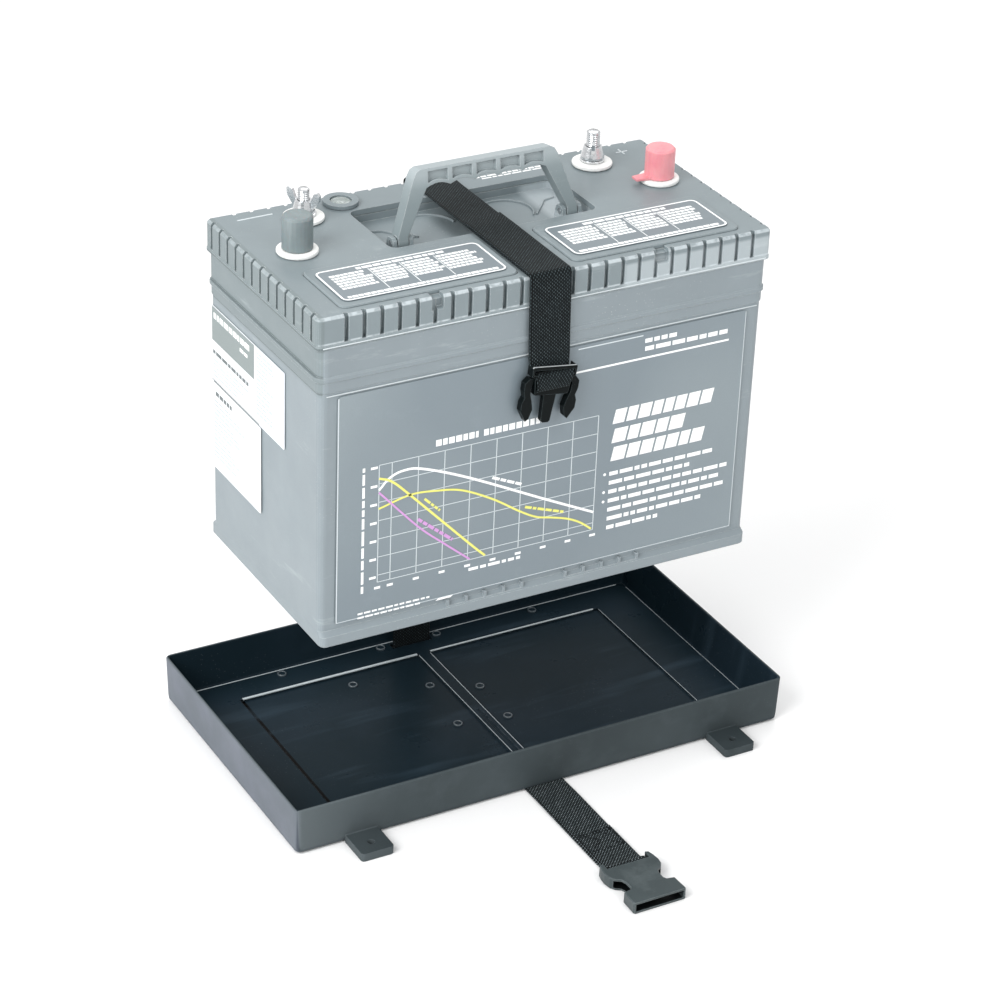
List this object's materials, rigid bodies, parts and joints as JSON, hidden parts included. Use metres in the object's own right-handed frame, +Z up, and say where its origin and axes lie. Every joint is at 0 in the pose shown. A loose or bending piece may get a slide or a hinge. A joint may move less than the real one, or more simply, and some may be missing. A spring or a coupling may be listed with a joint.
{
  "type": "battery tray with strap and battery",
  "caption": "Shallow screw-down battery tray with a webbing strap and side-release buckle, and a tall rectangular battery with a folding handle lifted above it.",
  "frame": {"origin": "middle of the tray on the surface it stands on, at the underside of the webbing that crosses under the tray", "axes": "+Z up, the tallest extent; +X along the tray's long side, towards the positive terminal; -Y towards the wall that the buckled end of the strap comes out under"},
  "size_m": [0.3816, 0.3933, 0.4214],
  "materials": {
    "tray_plastic": "satin moulded black plastic with a light grain",
    "webbing": "black woven webbing",
    "buckle_plastic": "satin moulded black acetal",
    "battery_plastic": "pale blue-grey satin moulding",
    "grey_cap": "grey soft plastic cap",
    "red_cap": "pale red soft plastic cap",
    "lead": "dull grey lead",
    "steel": "bright plated steel",
    "felt": "white felt",
    "label_grey": null,
    "label_white": null,
    "lens": "clear moulded lens"
  },
  "bodies": {
    "tray": {"tray": "tray_plastic", "strap_base": "webbing", "strap_rear": "webbing"},
    "strap_tail": {"strap_tail": "webbing", "strap_tail_hem": "webbing", "buckle_socket": "buckle_plastic"},
    "battery": {"battery_case": "battery_plastic", "battery_lid": "battery_plastic", "handle_well": "battery_plastic", "cell_plates_1": "lead", "cell_plates_2": "lead", "cell_plates_3": "lead", "cell_plates_4": "lead", "cell_plates_5": "lead", "cell_plates_6": "lead", "charge_eye_bezel": "battery_plastic", "charge_eye_lens": "lens", "end_label_upper": "label_white", "end_label_lower": "label_white", "front_label": "label_grey", "handle_pin_left": "steel", "handle_pin_right": "steel", "strap_top": "webbing", "strap_loose_end": "webbing", "terminal_post_negative": "lead", "terminal_post_positive": "lead", "terminal_stud_negative": "steel", "terminal_stud_positive": "steel", "washer_post_negative": "felt", "washer_post_positive": "felt", "washer_stud_negative": "felt", "washer_stud_positive": "felt"},
    "vent_cover_left": {"vent_cover_left": "battery_plastic", "vent_label_left": "label_grey"},
    "vent_cover_right": {"vent_cover_right": "battery_plastic", "vent_label_right": "label_grey"},
    "post_cap_negative": {"post_cap_negative": "grey_cap"},
    "post_cap_positive": {"post_cap_positive": "red_cap"},
    "wing_nut_negative": {"wing_nut_negative": "steel"},
    "wing_nut_positive": {"wing_nut_positive": "steel"},
    "carry_handle": {"carry_handle": "battery_plastic"},
    "strap_drop": {"strap_drop": "webbing", "buckle_plug": "buckle_plastic"},
    "buckle_prong_left": {"buckle_prong_left": "buckle_plastic"},
    "buckle_prong_right": {"buckle_prong_right": "buckle_plastic"}
  },
  "joints": [
    {"name": "battery_lift", "type": "slide", "parent": "tray", "child": "battery", "axis": [0, 0, 1], "range_m": [-0.1352, 0], "deforming": ["strap_rear"]},
    {"name": "strap_tail_lift", "type": "hinge", "parent": "tray", "child": "strap_tail", "pos_m": [-0.001, -0.1105, 0.0007], "axis": [-1, 0, 0], "range_deg": [0, 80]},
    {"name": "handle_fold", "type": "hinge", "parent": "battery", "child": "carry_handle", "pos_m": [0, 0.006, 0.3742], "axis": [-1, 0, 0], "range_deg": [-20, 57]},
    {"name": "vent_cover_left_lift", "type": "slide", "parent": "battery", "child": "vent_cover_left", "axis": [0, 0, 1], "range_m": [0, 0.03]},
    {"name": "vent_cover_right_lift", "type": "slide", "parent": "battery", "child": "vent_cover_right", "axis": [0, 0, 1], "range_m": [0, 0.03]},
    {"name": "post_cap_negative_pull", "type": "slide", "parent": "battery", "child": "post_cap_negative", "axis": [0, 0, 1], "range_m": [0, 0.03]},
    {"name": "post_cap_positive_pull", "type": "slide", "parent": "battery", "child": "post_cap_positive", "axis": [0, 0, 1], "range_m": [0, 0.03]},
    {"name": "wing_nut_negative_spin", "type": "hinge", "parent": "battery", "child": "wing_nut_negative", "pos_m": [-0.1085, 0.056, 0.3845], "axis": [0, 0, 1], "continuous": true},
    {"name": "wing_nut_positive_spin", "type": "hinge", "parent": "battery", "child": "wing_nut_positive", "pos_m": [0.1105, 0.057, 0.3845], "axis": [0, 0, 1], "continuous": true},
    {"name": "strap_drop_swing", "type": "hinge", "parent": "battery", "child": "strap_drop", "pos_m": [-0.003, -0.0863, 0.37985], "axis": [-1, 0, 0], "range_deg": [0, 90]},
    {"name": "prong_left_squeeze", "type": "hinge", "parent": "strap_drop", "child": "buckle_prong_left", "pos_m": [-0.01647, -0.0889, 0.30889], "axis": [0, -1, 0], "range_deg": [0, 6], "stiffness_Nm_per_rad": 0.4},
    {"name": "prong_right_squeeze", "type": "hinge", "parent": "strap_drop", "child": "buckle_prong_right", "pos_m": [0.01482, -0.0889, 0.30449], "axis": [0, 1, 0], "range_deg": [0, 6], "stiffness_Nm_per_rad": 0.4}
  ]
}
